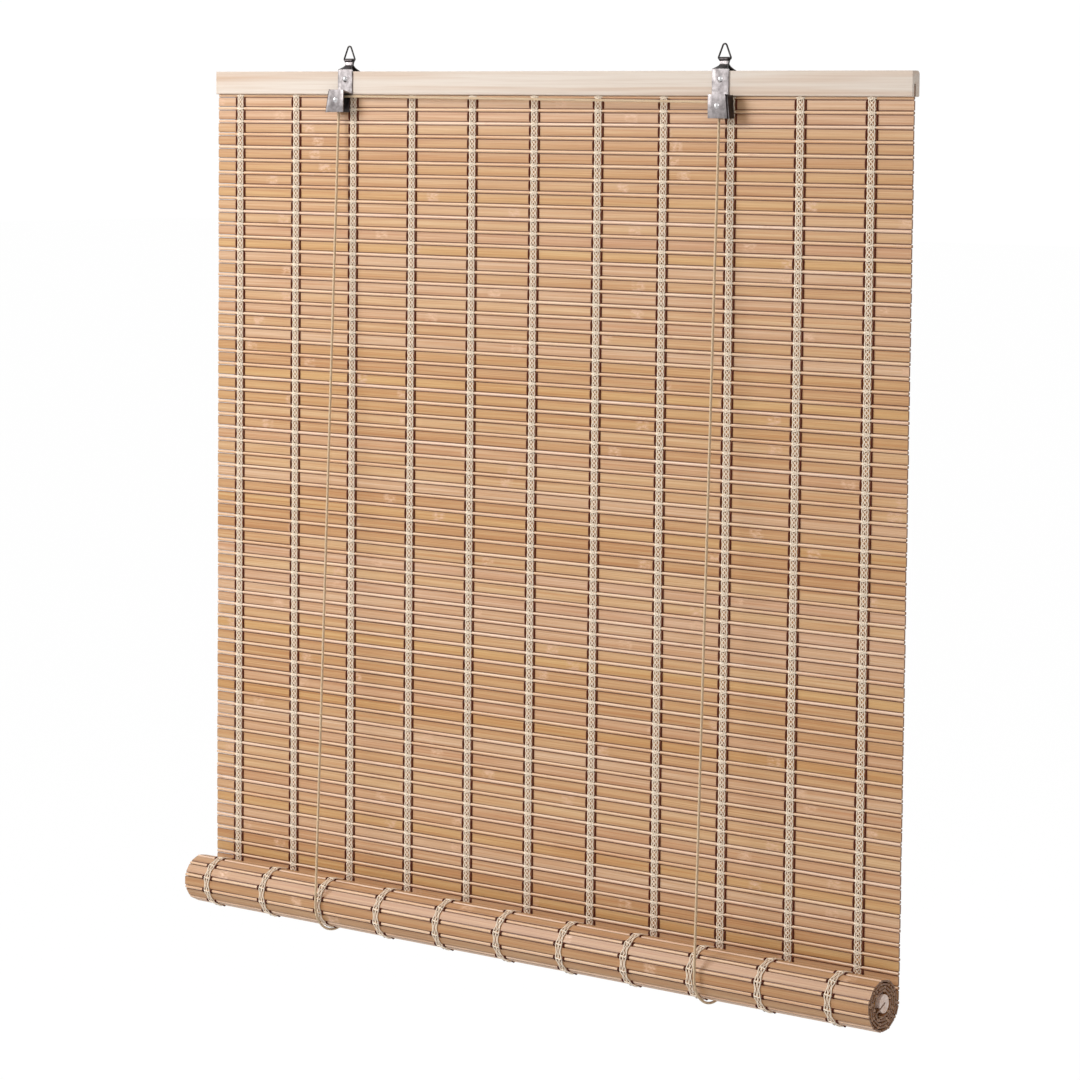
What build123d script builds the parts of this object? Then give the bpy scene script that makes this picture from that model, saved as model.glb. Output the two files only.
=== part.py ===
from build123d import *
import os
from math import atan2, cos, degrees, pi, sin, sqrt

os.makedirs("parts", exist_ok=True)

# Bamboo roll-up blind, partly rolled up and hanging from two wire rings.
# +X runs right along the headrail, the front faces -Y and +Z is up.
# The origin lies midway along the blind, where hooks would bear in the rings.

# Driving dimensions, in millimetres
blind_width = 700.0
sheet = 1.0
fit_gap = 0.05
seat_gap = 0.15
running_gap = 0.3

# Headrail: a wooden batten with a groove in its underside
rail_height = 19.0
rail_depth = 9.2
groove_depth = 9.5
groove_setback = 1.0
rail_back_round = 3.0
rail_front_round = 1.2

# Bamboo mat: wide flat slats and thin round sticks in turn
row_pitch = 10.75
slat_height = 7.2
slat_thickness = 1.3
stick_height = 2.5
stick_thickness = 2.1
link_thickness = 0.5
first_stick_drop = 1.0
end_gap_count = 59
end_gap_from_band = 4.0

# Binding bands that tie the rows together
band_count = 11
band_from_left = 26.0
band_from_right = 36.6
band_width = 6.4
band_thickness = 0.5

# Roll and bottom rail
roll_drop = 664.6
roll_radius = 20.2
roll_turns = 4.417
roll_pitch = 2.5
bottom_rail_width = 12.2
bottom_rail_height = 14.0
bottom_rail_shift = 0.8
slot_past_middle = 1.2
roll_band_sweep = 322.0
nip_height = 14.0

# Rings
wire = 1.4
ring_half_width = 6.4
ring_peak = 14.6
ring_peak_radius = 2.0
ring_corner_radius = 1.2
wire_gap = 0.08

# Brackets, a mirrored pair folded from steel strip
strip_width = 15.6
left_bracket_inset = 147.0
right_bracket_inset = 172.2
barrel_rise = 8.8
barrel_width = 8.6
web_thickness = 1.8
shoulder_top = 11.4
shoulder_bottom = 16.3
housing_reach = 8.4
housing_inner = 5.2
housing_outer = 11.6
housing_flare = 2.2
left_housing_bottom = 33.1
right_housing_bottom = 35.8
back_sheet = 0.8
back_sheet_clear = 0.25
back_sheet_half_height = 5.0
rear_tail = 8.3
rear_hole_rise = 3.4

# Pulleys and rivets
axle_offset = 3.0
left_axle_drop = 23.1
right_axle_drop = 26.4
axle_radius = 0.9
pulley_gap = 0.06
pulley_width = 3.8
pulley_flange_radius = 4.2
pulley_side_gap = 0.5
cord_bend_radius = 2.9
groove_mouth = 2.8
rivet_drop = 6.3
rivet_radius = 1.3
head_radius = 2.5
head_height = 1.3

# Cords
cord = 2.0
left_loop_shift = 7.0
right_loop_shift = 15.5
butt_gap = 0.12
stop_knot_drop = 7.0
stop_knot_radius = 2.3
stop_knot_half_length = 3.6
tie_knot_radius = 2.3
tie_drop = 5.5
tie_bend = 2.2

# Heights and depths that follow
wire_radius = wire / 2
cord_radius = cord / 2
peak_half_angle = atan2(ring_half_width, ring_peak)
bearing_rise = ring_peak - ring_peak_radius * (1 / sin(peak_half_angle) - 1) - wire_radius
barrel_z = -bearing_rise
rail_top = barrel_z - barrel_rise
rail_bottom = rail_top - rail_height
rail_front = -rail_depth / 2
rail_back = rail_depth / 2
mat_y = -groove_setback
groove_width = stick_thickness + 2 * seat_gap
stick_gap = (row_pitch - slat_height - stick_height) / 2
first_stick_z = rail_bottom - first_stick_drop
roll_y = mat_y - roll_radius
roll_z = first_stick_z - roll_drop
mat_bottom = roll_z + running_gap
left_end = -blind_width / 2
bracket_x = {"left": left_end + left_bracket_inset, "right": -left_end - right_bracket_inset}
outward = {"left": -1, "right": 1}
axle_z = {"left": rail_top - left_axle_drop, "right": rail_top - right_axle_drop}
housing_bottom = {"left": rail_top - left_housing_bottom, "right": rail_top - right_housing_bottom}
axle_x = {side: bracket_x[side] + outward[side] * axle_offset for side in bracket_x}
loop_x = {
    "left": bracket_x["left"] + left_loop_shift,
    "right": bracket_x["right"] + right_loop_shift,
}
plate_face = rail_front - sheet
housing_face = plate_face - housing_reach
band_offset = stick_thickness / 2 + fit_gap
back_sheet_y = mat_y - band_offset - band_thickness - back_sheet_clear
rear_pulley_y = back_sheet_y - back_sheet - pulley_side_gap - pulley_width / 2
front_pulley_y = rear_pulley_y - pulley_width - pulley_side_gap
rear_face = rail_back + sheet
tail_bottom = rail_bottom - rear_tail
tie_hole_z = tail_bottom + rear_hole_rise
loop_radius = roll_radius + band_offset + band_thickness + running_gap + cord_radius
back_strand_y = roll_y + loop_radius


def half_outline(start, end, sticks):
    """Offsets of one face of the mat from its mid-line, along its length."""
    half_slat = slat_thickness / 2
    half_link = link_thickness / 2
    half_stick = stick_height / 2
    outline = [(start, half_slat if start < sticks[0] - half_stick - stick_gap else half_link)]
    for middle in sticks:
        slat_end = middle - half_stick - stick_gap
        slat_start = middle + half_stick + stick_gap
        if slat_end > start:
            outline.append((slat_end, half_slat))
            outline.append((slat_end, half_link))
        outline.append((middle - half_stick, half_link))
        outline.append((middle - half_stick / 2, stick_thickness / 2))
        outline.append((middle + half_stick / 2, stick_thickness / 2))
        outline.append((middle + half_stick, half_link))
        if slat_start < end:
            outline.append((slat_start, half_link))
            outline.append((slat_start, half_slat))
    last_offset = half_slat if outline[-1][1] == half_slat else half_link
    outline.append((end, last_offset))
    return outline


def spiral_point(run, offset):
    """Point of the roll's section, run along its turns from the back and offset outwards."""
    turned = (roll_radius - sqrt(roll_radius**2 - roll_pitch * run / pi)) * 2 * pi / roll_pitch
    radius = roll_radius - roll_pitch * turned / (2 * pi) + offset
    return (roll_y + radius * cos(turned), roll_z - radius * sin(turned))


def spiral_run(turns):
    """Length of the mid-line over a number of turns."""
    turned = 2 * pi * turns
    return roll_radius * turned - roll_pitch * turned**2 / (4 * pi)


def dome_section(x, y, z, way):
    """Half section of a rivet's domed head, standing on y and pointing along Y by way."""
    cap_radius = (head_radius**2 + head_height**2) / (2 * head_height)
    with BuildSketch(Plane((x, y, z), x_dir=(1, 0, 0), z_dir=(0, 0, way))) as section:
        with BuildLine():
            Line((0, 0), (head_radius, 0))
            RadiusArc((head_radius, 0), (0, head_height), -cap_radius)
            Line((0, head_height), (0, 0))
        make_face()
    return section.sketch


def round_section(path, radius):
    """Circle square to the start of a path."""
    with BuildSketch(Plane(origin=path @ 0, z_dir=path % 0)) as section:
        Circle(radius)
    return section.sketch


# Headrail
with BuildPart() as headrail:
    with BuildSketch(Plane.YZ):
        with Locations((0, (rail_top + rail_bottom) / 2)):
            Rectangle(rail_depth, rail_height)
        with Locations((mat_y, rail_bottom)):
            Rectangle(groove_width, 2 * groove_depth, mode=Mode.SUBTRACT)
    extrude(amount=blind_width / 2, both=True)
    long_edges = headrail.edges().filter_by(Axis.X)
    top_edges = long_edges.group_by(Axis.Z)[-1].sort_by(Axis.Y)
    bottom_edges = long_edges.group_by(Axis.Z)[0].sort_by(Axis.Y)
    fillet(top_edges[-1], radius=rail_back_round)
    fillet([bottom_edges[0], bottom_edges[-1]], radius=rail_front_round)
    for side in bracket_x:
        with Locations(Plane(origin=(bracket_x[side], 0, rail_top - rivet_drop), z_dir=(0, 1, 0))):
            Hole(radius=rivet_radius + fit_gap)
headrail.part.label = "headrail"
export_step(headrail.part, "parts/headrail.step")


# Hanging mat: one ridged wall, slit between the rows outside the outer bands
stick_count = int(roll_drop / row_pitch) + 1
mat_sticks = [row_pitch * row for row in range(stick_count)]
mat_start = -(stick_height / 2 + stick_gap + slat_height)
mat_half = half_outline(mat_start, first_stick_z - mat_bottom, mat_sticks)
mat_front = [(mat_y - offset, first_stick_z - run) for run, offset in mat_half]
mat_back = [(mat_y + offset, first_stick_z - run) for run, offset in reversed(mat_half)]
band_left_x = left_end + band_from_left
band_pitch = (blind_width - band_from_left - band_from_right) / (band_count - 1)
band_xs = [band_left_x + band_pitch * number for number in range(band_count)]
end_slits = {
    "left": (left_end, band_xs[0] - band_width / 2 - end_gap_from_band),
    "right": (band_xs[-1] + band_width / 2 + end_gap_from_band, -left_end),
}
with BuildPart() as mat:
    with BuildSketch(Plane.YZ):
        with BuildLine():
            Polyline(*mat_front, *mat_back, close=True)
        make_face()
    extrude(amount=blind_width / 2, both=True)
    with BuildSketch(Plane.XZ.offset(-mat_y)):
        for low_x, high_x in end_slits.values():
            for row in range(1, end_gap_count + 1):
                slit_z = first_stick_z - mat_sticks[row] + (stick_height + stick_gap) / 2
                with Locations(((low_x + high_x) / 2, slit_z)):
                    Rectangle(high_x - low_x, stick_gap)
    extrude(amount=stick_thickness, both=True, mode=Mode.SUBTRACT)
mat.part.label = "mat"
export_step(mat.part, "parts/mat.step")


# Roll: the lower mat wound inwards from the back, under and up the front
roll_length = spiral_run(roll_turns)
next_stick = stick_count * row_pitch - roll_drop
roll_sticks = []
while next_stick + stick_height < roll_length:
    roll_sticks.append(next_stick)
    next_stick += row_pitch
roll_half = half_outline(0, roll_length, roll_sticks)
slat_middles = [stick + row_pitch / 2 for stick in roll_sticks[:-1]]
outer_turn = spiral_run(1)
for middle in slat_middles:
    if middle > outer_turn:
        roll_half.append((middle, slat_thickness / 2))
roll_half = sorted(roll_half, key=lambda point: point[0])
roll_outside = [spiral_point(run, offset) for run, offset in roll_half]
roll_inside = [spiral_point(run, -offset) for run, offset in reversed(roll_half)]
tail_start = Vector(*spiral_point(roll_length, 0))
rod_middle = Vector(roll_y + bottom_rail_shift, roll_z + bottom_rail_shift)
tail_way = (rod_middle - tail_start).normalized()
tail_side = Vector(-tail_way.Y, tail_way.X)
tail_end = rod_middle + tail_way * slot_past_middle
tail_half = tail_side * (slat_thickness / 2)
with BuildPart() as roll:
    with BuildSketch(Plane.YZ):
        with BuildLine():
            Polyline(*roll_outside, *roll_inside, close=True)
        make_face()
        with BuildLine():
            Polyline(
                tail_start + tail_half,
                tail_end + tail_half,
                tail_end - tail_half,
                tail_start - tail_half,
                close=True,
            )
        make_face()
    extrude(amount=blind_width / 2, both=True)
roll.part.label = "roll_turns"
export_step(roll.part, "parts/roll_turns.step")


# Bottom rail: an oval rod with a slot that grips the mat's end
slot_angle = degrees(atan2(tail_way.Y, tail_way.X))
slot_width = slat_thickness + 2 * seat_gap
with BuildPart() as bottom_rail:
    with BuildSketch(Plane.YZ):
        with Locations(rod_middle):
            Ellipse(bottom_rail_width / 2, bottom_rail_height / 2)
        with Locations(Location(tail_end + tail_way * running_gap, slot_angle)):
            Rectangle(
                bottom_rail_height,
                slot_width,
                align=(Align.MAX, Align.CENTER),
                mode=Mode.SUBTRACT,
            )
    extrude(amount=blind_width / 2, both=True)
bottom_rail.part.label = "bottom_rail"
export_step(bottom_rail.part, "parts/bottom_rail.step")


# Binding bands on the hanging mat, one strip on each face
band_low = {-1: roll_z + nip_height, 1: mat_bottom}
for number, band_x in enumerate(band_xs, start=1):
    with BuildPart() as band:
        for face, low_z in band_low.items():
            face_y = mat_y + face * (band_offset + band_thickness / 2)
            band_plane = Plane(origin=(band_x, face_y, (rail_bottom + low_z) / 2))
            with BuildSketch(band_plane):
                Rectangle(band_width, band_thickness)
            extrude(amount=(rail_bottom - low_z) / 2, both=True)
    band.part.label = f"band_{number:02d}"
    export_step(band.part, f"parts/band_{number:02d}.step")


# Binding bands round the outer turn of the roll
band_runs = []
for stick in roll_sticks:
    if stick < spiral_run(roll_band_sweep / 360):
        band_runs.append(stick - stick_height / 4)
        band_runs.append(stick + stick_height / 4)
band_outer = [spiral_point(run, band_offset + band_thickness) for run in band_runs]
band_inner = [spiral_point(run, band_offset) for run in reversed(band_runs)]
for number, band_x in enumerate(band_xs, start=1):
    with BuildPart() as roll_band:
        with BuildSketch(Plane.YZ.offset(band_x)):
            with BuildLine():
                Polyline(*band_outer, *band_inner, close=True)
            make_face()
        extrude(amount=band_width / 2, both=True)
    roll_band.part.label = f"roll_band_{number:02d}"
    export_step(roll_band.part, f"parts/roll_band_{number:02d}.step")


# Brackets: front plate, stepped housing, ring barrel and rear leg in one folded piece
for side, middle_x in bracket_x.items():
    way = outward[side]
    low_z = housing_bottom[side]
    top_z = rail_top - shoulder_bottom
    inner_x = middle_x - way * housing_inner
    outer_top_x = middle_x + way * housing_outer
    outer_low_x = outer_top_x + way * housing_flare
    with BuildPart() as bracket:
        # Front plate on the headrail
        with BuildSketch(Plane.XZ.offset(-rail_front)):
            with Locations((middle_x, rail_top + web_thickness)):
                plate_height = web_thickness + shoulder_top + sheet
                Rectangle(strip_width, plate_height, align=(Align.CENTER, Align.MAX))
        extrude(amount=sheet)
        # Shoulder that steps forward and outward
        with BuildSketch(Plane.XZ.offset(-rail_front)):
            with Locations((middle_x, rail_top - shoulder_top)):
                Rectangle(strip_width, sheet, align=(Align.CENTER, Align.MAX))
        with BuildSketch(Plane.XZ.offset(-housing_face)):
            with Locations(((inner_x + outer_top_x) / 2, top_z)):
                Rectangle(abs(outer_top_x - inner_x), sheet, align=(Align.CENTER, Align.MIN))
        loft()
        # Housing front
        with BuildSketch(Plane.XZ.offset(-housing_face - sheet)):
            with BuildLine():
                Polyline(
                    (inner_x, top_z + sheet),
                    (outer_top_x, top_z + sheet),
                    (outer_low_x, low_z),
                    (inner_x, low_z),
                    close=True,
                )
            make_face()
        extrude(amount=sheet)
        # Outer flange
        with BuildSketch(Plane.XZ.offset(-back_sheet_y)):
            with BuildLine():
                Polyline(
                    (outer_top_x, top_z),
                    (outer_low_x, low_z),
                    (outer_low_x - way * sheet, low_z),
                    (outer_top_x - way * sheet, top_z),
                    close=True,
                )
            make_face()
        extrude(amount=back_sheet_y - housing_face)
        # Back sheet behind the pulleys, folded in from the flange
        back_inner_x = axle_x[side] - way * pulley_flange_radius
        back_high_z = axle_z[side] + back_sheet_half_height
        back_low_z = axle_z[side] - back_sheet_half_height
        lean = (outer_low_x - outer_top_x) / (top_z - low_z)
        with BuildSketch(Plane.XZ.offset(-back_sheet_y)):
            with BuildLine():
                Polyline(
                    (back_inner_x, back_high_z),
                    (outer_top_x + lean * (top_z - back_high_z), back_high_z),
                    (outer_top_x + lean * (top_z - back_low_z), back_low_z),
                    (back_inner_x, back_low_z),
                    close=True,
                )
            make_face()
        extrude(amount=back_sheet)
        # Web over the headrail, neck and barrel for the ring
        with BuildSketch(Plane.XY.offset(rail_top)):
            with Locations((middle_x, rail_front)):
                Rectangle(strip_width, rail_depth / 2, align=(Align.CENTER, Align.MIN))
        extrude(amount=web_thickness)
        barrel_outer = wire_radius + wire_gap + sheet
        with BuildSketch(Plane.XZ.offset(barrel_outer - sheet)):
            with Locations((middle_x, rail_top)):
                Rectangle(barrel_width, barrel_rise, align=(Align.CENTER, Align.MIN))
        extrude(amount=sheet)
        with BuildSketch(Plane.YZ.offset(middle_x)):
            with Locations((0, barrel_z)):
                Circle(barrel_outer)
        extrude(amount=barrel_width / 2, both=True)
        # Rear leg, widening down to the headrail's back edge
        with BuildSketch(Plane.XY.offset(barrel_z)):
            with Locations((middle_x, barrel_outer - sheet)):
                Rectangle(barrel_width, sheet, align=(Align.CENTER, Align.MIN))
        with BuildSketch(Plane.XY.offset(rail_top)):
            with Locations((middle_x, rail_back)):
                Rectangle(strip_width, sheet, align=(Align.CENTER, Align.MIN))
        loft()
        with BuildSketch(Plane.XY.offset(rail_top)):
            with Locations((middle_x, rail_back)):
                Rectangle(strip_width, sheet, align=(Align.CENTER, Align.MIN))
        extrude(amount=tail_bottom - rail_top)
        # Room for the headrail, where the housing reaches up in front of it
        with BuildSketch(Plane.YZ.offset(middle_x)):
            with Locations((0, rail_bottom - fit_gap)):
                Rectangle(rail_depth, rail_top - rail_bottom + fit_gap, align=(Align.CENTER, Align.MIN))
        extrude(amount=strip_width, both=True, mode=Mode.SUBTRACT)
        # Holes for the ring, the rivet, the axle and the cord
        with BuildSketch(Plane.YZ.offset(middle_x)):
            with Locations((0, barrel_z)):
                Circle(wire_radius + wire_gap)
        extrude(amount=barrel_width, both=True, mode=Mode.SUBTRACT)
        holes = (
            (middle_x, rail_top - rivet_drop, rivet_radius + fit_gap),
            (axle_x[side], axle_z[side], axle_radius + fit_gap),
            (middle_x, tie_hole_z, cord_radius + seat_gap),
        )
        for hole_x, hole_z, hole_radius in holes:
            with BuildSketch(Plane.XZ):
                with Locations((hole_x, hole_z)):
                    Circle(hole_radius)
            extrude(amount=-2 * housing_face, both=True, mode=Mode.SUBTRACT)
    bracket.part.label = f"bracket_{side}"
    export_step(bracket.part, f"parts/bracket_{side}.step")

    # Ring: a wire triangle whose base turns in the barrel
    with BuildPart() as ring:
        with BuildLine(Plane.XZ) as ring_path:
            FilletPolyline(
                (middle_x - ring_half_width, barrel_z),
                (middle_x, barrel_z + ring_peak),
                (middle_x + ring_half_width, barrel_z),
                radius=[ring_corner_radius, ring_peak_radius, ring_corner_radius],
                close=True,
            )
        sweep(round_section(ring_path.wire(), wire_radius), path=ring_path.wire())
    ring.part.label = f"ring_{side}"
    export_step(ring.part, f"parts/ring_{side}.step")

    # Fixing rivet through bracket and headrail, domed at both ends
    rivet_z = rail_top - rivet_drop
    with BuildPart() as rivet:
        with BuildSketch(Plane.XZ.offset(-rear_face)):
            with Locations((middle_x, rivet_z)):
                Circle(rivet_radius)
        extrude(amount=rear_face - plate_face)
        rivet_axis = Axis((middle_x, 0, rivet_z), (0, 1, 0))
        revolve(dome_section(middle_x, plate_face, rivet_z, -1), axis=rivet_axis)
        revolve(dome_section(middle_x, rear_face, rivet_z, 1), axis=rivet_axis)
    rivet.part.label = f"rivet_{side}"
    export_step(rivet.part, f"parts/rivet_{side}.step")

    # Axle rivet that carries the pulleys
    with BuildPart() as axle:
        with BuildSketch(Plane.XZ.offset(-back_sheet_y)):
            with Locations((axle_x[side], axle_z[side])):
                Circle(axle_radius)
        extrude(amount=back_sheet_y - housing_face)
        axle_head = dome_section(axle_x[side], housing_face, axle_z[side], -1)
        revolve(axle_head, axis=Axis((axle_x[side], 0, axle_z[side]), (0, 1, 0)))
    axle.part.label = f"axle_{side}"
    export_step(axle.part, f"parts/axle_{side}.step")


# Pulleys: one on the left axle, two on the right
pulleys = {
    "pulley_left": ("left", rear_pulley_y),
    "pulley_right_rear": ("right", rear_pulley_y),
    "pulley_right_front": ("right", front_pulley_y),
}
groove_radius = cord_bend_radius - cord_radius - running_gap
for name, (side, pulley_y) in pulleys.items():
    with BuildPart() as pulley:
        with BuildSketch(Plane.XY.offset(axle_z[side])):
            with Locations((axle_x[side], pulley_y)):
                with Locations((0, 0)):
                    Rectangle(
                        pulley_flange_radius,
                        pulley_width,
                        align=(Align.MIN, Align.CENTER),
                    )
                Rectangle(
                    axle_radius + pulley_gap,
                    pulley_width,
                    align=(Align.MIN, Align.CENTER),
                    mode=Mode.SUBTRACT,
                )
            with BuildLine():
                Polyline(
                    (axle_x[side] + pulley_flange_radius, pulley_y - groove_mouth / 2 - fit_gap),
                    (axle_x[side] + groove_radius, pulley_y - cord_radius - fit_gap),
                    (axle_x[side] + groove_radius, pulley_y + cord_radius + fit_gap),
                    (axle_x[side] + pulley_flange_radius, pulley_y + groove_mouth / 2 + fit_gap),
                    close=True,
                )
            make_face(mode=Mode.SUBTRACT)
        revolve(axis=Axis((axle_x[side], pulley_y, axle_z[side]), (0, 1, 0)))
    pulley.part.label = name
    export_step(pulley.part, f"parts/{name}.step")


# Lift cords: tied behind the headrail, down the back, round the roll and up the front
lead_angle = degrees(atan2(loop_radius - (rear_pulley_y - roll_y), axle_z["left"] - roll_z))
for side, middle_x in bracket_x.items():
    # Tied end, through the hole in the bracket's rear leg
    with BuildPart() as cord_tie:
        with BuildLine() as tie_path:
            FilletPolyline(
                (middle_x, back_strand_y, tie_hole_z - tie_drop),
                (middle_x, back_strand_y, tie_hole_z),
                (middle_x, rear_face + tie_knot_radius, tie_hole_z),
                radius=tie_bend,
            )
        sweep(round_section(tie_path.wire(), cord_radius), path=tie_path.wire())
        with Locations((middle_x, rear_face + tie_knot_radius + fit_gap, tie_hole_z)):
            Sphere(tie_knot_radius)
    cord_tie.part.label = f"cord_tie_{side}"
    export_step(cord_tie.part, f"parts/cord_tie_{side}.step")

    # Loop under the roll
    with BuildPart() as cord_loop:
        with BuildLine(Plane.YZ.offset(loop_x[side])) as loop_path:
            CenterArc((roll_y, roll_z), loop_radius, 0, -180 - lead_angle)
        sweep(round_section(loop_path.wire(), cord_radius), path=loop_path.wire())
    cord_loop.part.label = f"cord_loop_{side}"
    export_step(cord_loop.part, f"parts/cord_loop_{side}.step")

    # Back strand and front strand
    loop_back = loop_path.wire() @ 0
    loop_front = loop_path.wire() @ 1
    strands = {
        "cord_back": (Vector(middle_x, back_strand_y, tie_hole_z - tie_drop), loop_back),
        "cord_front": (
            Vector(axle_x[side] - cord_bend_radius, rear_pulley_y, axle_z[side]),
            loop_front,
        ),
    }
    for name, (strand_top, strand_end) in strands.items():
        strand_way = (strand_end - strand_top).normalized()
        with BuildPart() as strand:
            with BuildLine() as strand_path:
                Line(strand_top + strand_way * butt_gap, strand_end - strand_way * butt_gap)
            sweep(round_section(strand_path.wire(), cord_radius), path=strand_path.wire())
        strand.part.label = f"{name}_{side}"
        export_step(strand.part, f"parts/{name}_{side}.step")
        print(name, side, "length", round((strand_end - strand_top).length, 1))
    print("cord_loop", side, "length", round(loop_path.wire().length, 1), "radius", round(loop_radius, 2))


# Cross cord: over the left pulley, along the headrail and over the right front pulley
left_x = axle_x["left"] - cord_bend_radius
right_x = axle_x["right"] + cord_bend_radius
left_z = axle_z["left"]
right_z = axle_z["right"]
knot_y = (rear_pulley_y + front_pulley_y) / 2
knot_z = right_z - stop_knot_drop
with BuildPart() as cross_cord:
    with BuildLine() as cross_path:
        FilletPolyline(
            (left_x, rear_pulley_y, left_z),
            (left_x, rear_pulley_y, left_z + cord_bend_radius),
            (right_x, front_pulley_y, right_z + cord_bend_radius),
            (right_x, front_pulley_y, knot_z),
            radius=cord_bend_radius - fit_gap,
        )
    sweep(round_section(cross_path.wire(), cord_radius), path=cross_path.wire())
cross_cord.part.label = "cross_cord"
export_step(cross_cord.part, "parts/cross_cord.step")
print("cross_cord length", round(cross_path.wire().length, 1), "radius", cord_bend_radius - fit_gap)


# Right lift cord's end over its pulley
with BuildPart() as cord_end:
    with BuildLine(Plane.XZ.offset(-rear_pulley_y)) as end_path:
        over = CenterArc((axle_x["right"], right_z), cord_bend_radius, 180, -180)
        Line(over @ 1, (right_x, knot_z))
    sweep(round_section(end_path.wire(), cord_radius), path=end_path.wire())
cord_end.part.label = "cord_end_right"
export_step(cord_end.part, "parts/cord_end_right.step")
print("cord_end_right length", round(end_path.wire().length, 1), "radius", cord_bend_radius)


# Stop knot that ties both cords together below the right pulleys
with BuildPart() as stop_knot:
    with BuildSketch(Plane.XY.offset(knot_z)):
        with Locations((right_x, knot_y)):
            Ellipse(stop_knot_radius, stop_knot_half_length)
        with Locations((right_x, knot_y)):
            Rectangle(
                2 * stop_knot_radius,
                2 * stop_knot_half_length,
                align=(Align.MAX, Align.CENTER),
                mode=Mode.SUBTRACT,
            )
    revolve(axis=Axis((right_x, knot_y, knot_z), (0, 1, 0)))
stop_knot.part.label = "stop_knot"
export_step(stop_knot.part, "parts/stop_knot.step")
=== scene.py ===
import math
import bpy
import numpy as np
from mathutils import Matrix, Vector


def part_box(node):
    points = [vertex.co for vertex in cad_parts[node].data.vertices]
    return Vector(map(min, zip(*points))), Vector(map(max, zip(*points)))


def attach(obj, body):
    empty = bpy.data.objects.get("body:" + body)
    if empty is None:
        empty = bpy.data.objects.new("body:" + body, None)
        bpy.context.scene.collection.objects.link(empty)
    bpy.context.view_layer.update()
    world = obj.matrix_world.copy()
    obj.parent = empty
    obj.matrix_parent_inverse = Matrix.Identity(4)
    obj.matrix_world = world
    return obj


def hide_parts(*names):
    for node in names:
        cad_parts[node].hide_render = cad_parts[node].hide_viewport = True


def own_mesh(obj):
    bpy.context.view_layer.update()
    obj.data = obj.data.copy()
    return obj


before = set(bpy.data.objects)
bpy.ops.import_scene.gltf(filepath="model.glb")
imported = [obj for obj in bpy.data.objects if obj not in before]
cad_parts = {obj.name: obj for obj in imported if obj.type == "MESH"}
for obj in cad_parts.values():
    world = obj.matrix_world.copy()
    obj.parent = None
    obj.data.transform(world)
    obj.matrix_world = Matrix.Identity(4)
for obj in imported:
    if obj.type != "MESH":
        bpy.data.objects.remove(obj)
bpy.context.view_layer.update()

MM = 0.001
rng = np.random.default_rng(7)

# Sizes of the woven mat and its roll, in millimetres
ROW_PITCH = 10.75
SLAT_HEIGHT = 7.2
SLAT_THICKNESS = 1.3
SLAT_CROWN = 0.08
STICK_HEIGHT = 2.5
STICK_THICKNESS = 2.1
STICK_GAP = (ROW_PITCH - SLAT_HEIGHT - STICK_HEIGHT) / 2
# Thickness of the strips of painted shade that fill the gaps between slats and sticks
GAP_SHADE_THICKNESS = 0.5
ROLL_RADIUS = 20.2
ROLL_PITCH = 2.5
ROLL_TURNS = 4.417
ROLL_DROP = 664.6
BAND_COUNT = 11
BAND_WIDTH = 6.4
BAND_THICKNESS = 0.5
CORD_RADIUS = 1.0
FIT_GAP = 0.05
RUNNING_GAP = 0.3
# Run down the mat from its first stick at which the front chains end, above the roll
NIP_RUN = 658.0
# Height of the open slit at the mat's left end, and where it ends, measured left from the first band
OPEN_SLIT = 0.2
OPEN_END = 4.0
# Way that the roll rises
TRAVEL = 620.0


def box_mm(node):
    low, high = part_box(node)
    return np.array(low) / MM, np.array(high) / MM


def middle_mm(node):
    low, high = box_mm(node)
    return (low + high) / 2


mat_low, mat_high = box_mm("mat")
rail_low, rail_high = box_mm("headrail")
MAT_Y = middle_mm("mat")[1]
FIRST_STICK_Z = mat_high[2] - SLAT_HEIGHT - STICK_GAP - STICK_HEIGHT / 2
ROLL_Y = MAT_Y - ROLL_RADIUS
ROLL_Z = FIRST_STICK_Z - ROLL_DROP
LEFT_END, RIGHT_END = mat_low[0], mat_high[0]
BAND_XS = [middle_mm(f"band_{number:02d}")[0] for number in range(1, BAND_COUNT + 1)]


def squeeze(fixed_z, moving_z):
    """Fixed height in metres, and the share of a piece's length that is left when the roll is up."""
    return fixed_z * MM, 1 - TRAVEL / (fixed_z - moving_z)


MAT_SQUEEZE = squeeze(rail_low[2], mat_low[2])


# Camera at the photograph's angle
FOCAL_PIXELS = 3700
PICTURE_PIXELS = 1080
SENSOR_WIDTH = 36
camera_data = bpy.data.cameras.new("camera")
camera = bpy.data.objects.new("camera", camera_data)
bpy.context.collection.objects.link(camera)
camera_data.sensor_width = SENSOR_WIDTH
camera_data.lens = SENSOR_WIDTH * FOCAL_PIXELS / PICTURE_PIXELS
camera_data.shift_y = -0.10
camera_data.clip_end = 60
turn, pitch, roll = 0.68344, 0.08343, 0.00953
camera.location = (1.84134, -2.25903, -0.05989)
look = Vector((-math.sin(turn) * math.cos(pitch), math.cos(turn) * math.cos(pitch), -math.sin(pitch)))
right = Vector((math.cos(turn), math.sin(turn), 0))
up = right.cross(look)
camera.rotation_mode = "QUATERNION"
basis_x = math.cos(roll) * right + math.sin(roll) * up
basis_y = -math.sin(roll) * right + math.cos(roll) * up
camera.rotation_quaternion = Matrix((basis_x, basis_y, -look)).transposed().to_quaternion()
bpy.context.scene.camera = camera


# Materials
BLACK = (0, 0, 0, 1)
WHITE = (1, 1, 1, 1)
# Distance between the joints of a cane, in millimetres
JOINT_SPACING = 370


def linear(red, green, blue):
    """Linear colour of an sRGB colour given as 0 to 255."""
    return tuple(((c / 255 + 0.055) / 1.055) ** 2.4 if c > 10 else c / 255 / 12.92
                 for c in (red, green, blue)) + (1,)


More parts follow.
